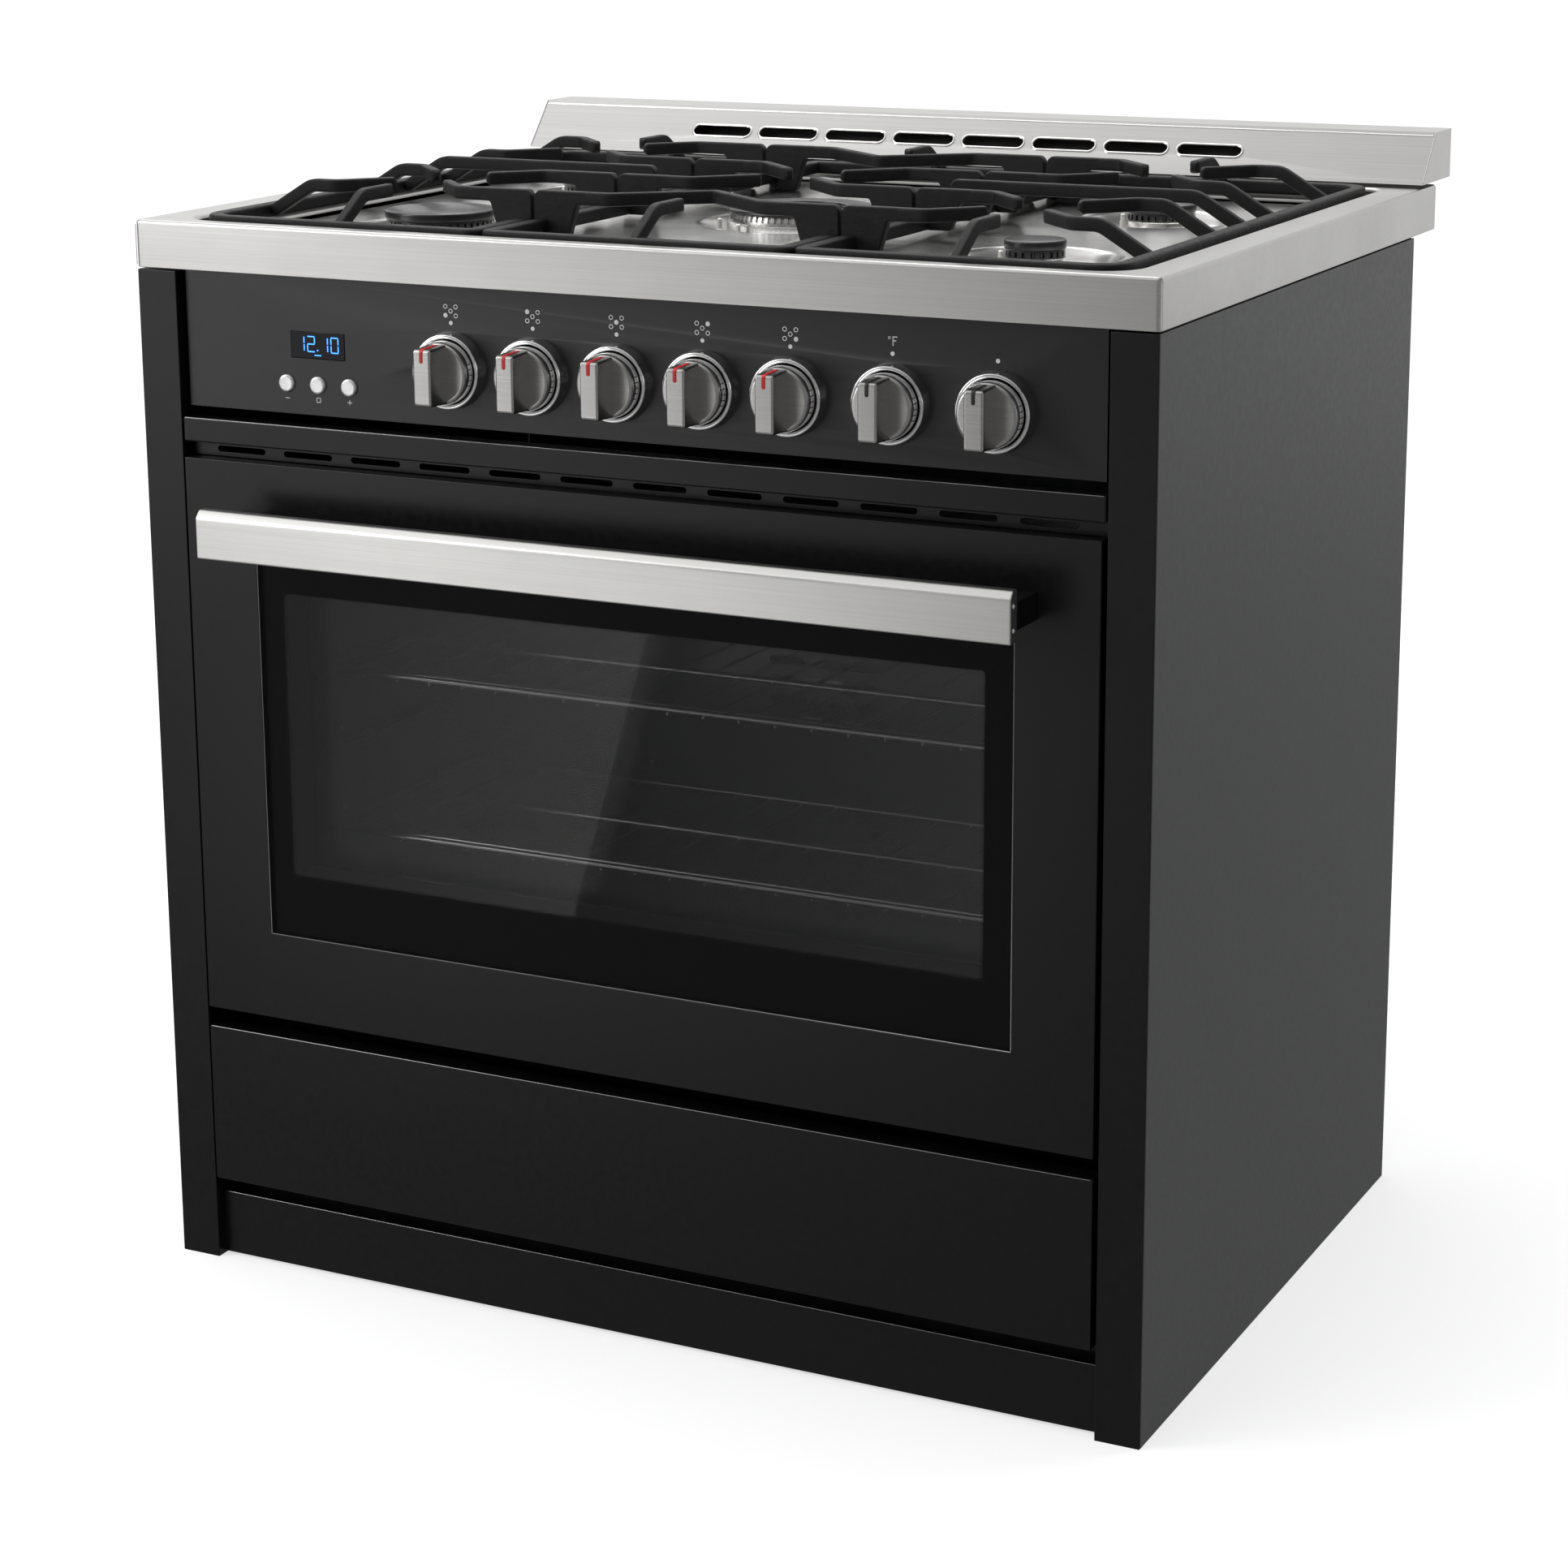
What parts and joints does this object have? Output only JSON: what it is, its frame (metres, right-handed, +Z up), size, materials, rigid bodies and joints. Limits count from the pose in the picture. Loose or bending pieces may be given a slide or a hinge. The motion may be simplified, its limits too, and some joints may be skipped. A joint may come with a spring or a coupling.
{
  "type": "gas range",
  "caption": "Freestanding gas range with cast iron grates over recessed burners, front knobs, a drop-down glass oven door, a storage drawer and a low rear vent hood.",
  "frame": {"origin": "on the floor under the centre of the whole appliance's bounding box", "axes": "+Z up, +X to the right as the cook sees it, -Y towards the cook"},
  "size_m": [0.905, 0.7854, 0.96],
  "materials": {
    "stainless": "brushed from side to side, satin",
    "cast_iron": "matte black enamel with a fine grain",
    "cap_enamel": "satin black enamel",
    "black_steel": "satin black",
    "grey_steel": "satin dark grey",
    "zinc_steel": "zinc coated, dull",
    "oven_enamel": "glossy speckled enamel",
    "rack_chrome": "bright",
    "knob_metal": "satin nickel colour with a chromed skirt",
    "button_metal": "bright silver",
    "dark_glass": "polished, smoked",
    "display_plastic": "polished black window",
    "seal_rubber": "matte woven look"
  },
  "bodies": {
    "body": {"back_panel": "zinc_steel", "backguard": "stainless", "base_pan": "black_steel", "burner_cap_front_left": "cap_enamel", "burner_cap_front_right": "cap_enamel", "burner_cap_rear_left": "cap_enamel", "burner_cap_rear_right": "cap_enamel", "burner_cap_wok_inner": "cap_enamel", "burner_cap_wok_ring": "cap_enamel", "burner_head_front_left": "stainless", "burner_head_front_right": "stainless", "burner_head_rear_left": "stainless", "burner_head_rear_right": "stainless", "burner_head_wok": "stainless", "clock_display": "display_plastic", "control_panel": "black_steel", "cooktop": "stainless", "corner_post_left": "black_steel", "corner_post_right": "black_steel", "cross_rail": "black_steel", "door_seal": "seal_rubber", "drawer_rail_left": "zinc_steel", "drawer_rail_right": "zinc_steel", "fan_cover": "oven_enamel", "flue_duct": "zinc_steel", "foot_front_left": "zinc_steel", "foot_front_right": "zinc_steel", "foot_rear_left": "zinc_steel", "foot_rear_right": "zinc_steel", "kick_panel": "black_steel", "oven_cavity": "oven_enamel", "side_panel_left": "grey_steel", "side_panel_right": "grey_steel", "trim_rail": "black_steel", "vent_grille": "black_steel"},
    "door": {"door_skin": "black_steel", "door_glass_outer": "dark_glass", "door_liner": "black_steel", "door_glass_inner": "dark_glass", "door_handle": "stainless", "handle_post_left": "black_steel", "handle_post_right": "black_steel"},
    "drawer": {"drawer_front": "black_steel", "drawer_box": "zinc_steel"},
    "grate_left": {"grate_left": "cast_iron"},
    "grate_center": {"grate_center": "cast_iron"},
    "grate_right": {"grate_right": "cast_iron"},
    "rack_lower": {"rack_lower": "rack_chrome"},
    "rack_upper": {"rack_upper": "rack_chrome"},
    "convection_fan": {"convection_fan": "zinc_steel"},
    "knob_thermostat": {"knob_thermostat": "knob_metal"},
    "knob_selector": {"knob_selector": "knob_metal"},
    "knob_burner_1": {"knob_burner_1": "knob_metal"},
    "knob_burner_2": {"knob_burner_2": "knob_metal"},
    "knob_burner_3": {"knob_burner_3": "knob_metal"},
    "knob_burner_4": {"knob_burner_4": "knob_metal"},
    "knob_burner_5": {"knob_burner_5": "knob_metal"},
    "clock_button_1": {"clock_button_1": "button_metal"},
    "clock_button_2": {"clock_button_2": "button_metal"},
    "clock_button_3": {"clock_button_3": "button_metal"}
  },
  "joints": [
    {"name": "door_hinge", "type": "hinge", "parent": "body", "child": "door", "pos_m": [0, -0.30925, 0.259], "axis": [1, 0, 0], "range_deg": [0, 90], "stiffness_Nm_per_rad": 9, "springref_deg": -28.65},
    {"name": "drawer_slide", "type": "slide", "parent": "body", "child": "drawer", "axis": [0, -1, 0], "range_m": [0, 0.35]},
    {"name": "grate_left_lift", "type": "slide", "parent": "body", "child": "grate_left", "axis": [0, 0, 1], "range_m": [0, 0.15]},
    {"name": "grate_center_lift", "type": "slide", "parent": "body", "child": "grate_center", "axis": [0, 0, 1], "range_m": [0, 0.15]},
    {"name": "grate_right_lift", "type": "slide", "parent": "body", "child": "grate_right", "axis": [0, 0, 1], "range_m": [0, 0.15]},
    {"name": "rack_lower_slide", "type": "slide", "parent": "body", "child": "rack_lower", "axis": [0, -1, 0], "range_m": [0, 0.035]},
    {"name": "rack_upper_slide", "type": "slide", "parent": "body", "child": "rack_upper", "axis": [0, -1, 0], "range_m": [0, 0.035]},
    {"name": "fan_spin", "type": "hinge", "parent": "body", "child": "convection_fan", "pos_m": [0, 0.05175, 0.48], "axis": [0, 1, 0], "continuous": true},
    {"name": "knob_burner_1_turn", "type": "hinge", "parent": "body", "child": "knob_burner_1", "pos_m": [-0.1525, -0.32625, 0.806], "axis": [0, -1, 0], "range_deg": [0, 210]},
    {"name": "knob_burner_2_turn", "type": "hinge", "parent": "body", "child": "knob_burner_2", "pos_m": [-0.0768, -0.32625, 0.806], "axis": [0, -1, 0], "range_deg": [0, 210]},
    {"name": "knob_burner_3_turn", "type": "hinge", "parent": "body", "child": "knob_burner_3", "pos_m": [-0.0011, -0.32625, 0.806], "axis": [0, -1, 0], "range_deg": [0, 210]},
    {"name": "knob_burner_4_turn", "type": "hinge", "parent": "body", "child": "knob_burner_4", "pos_m": [0.0746, -0.32625, 0.806], "axis": [0, -1, 0], "range_deg": [0, 210]},
    {"name": "knob_burner_5_turn", "type": "hinge", "parent": "body", "child": "knob_burner_5", "pos_m": [0.1503, -0.32625, 0.806], "axis": [0, -1, 0], "range_deg": [0, 210]},
    {"name": "knob_thermostat_turn", "type": "hinge", "parent": "body", "child": "knob_thermostat", "pos_m": [0.236, -0.32625, 0.806], "axis": [0, -1, 0], "range_deg": [0, 270]},
    {"name": "knob_selector_turn", "type": "hinge", "parent": "body", "child": "knob_selector", "pos_m": [0.322, -0.32625, 0.806], "axis": [0, -1, 0], "range_deg": [0, 270]},
    {"name": "clock_button_1_press", "type": "slide", "parent": "body", "child": "clock_button_1", "axis": [0, 1, 0], "range_m": [0, 0.0012], "stiffness_N_per_m": 300, "springref_m": -0.001},
    {"name": "clock_button_2_press", "type": "slide", "parent": "body", "child": "clock_button_2", "axis": [0, 1, 0], "range_m": [0, 0.0012], "stiffness_N_per_m": 300, "springref_m": -0.001},
    {"name": "clock_button_3_press", "type": "slide", "parent": "body", "child": "clock_button_3", "axis": [0, 1, 0], "range_m": [0, 0.0012], "stiffness_N_per_m": 300, "springref_m": -0.001}
  ]
}
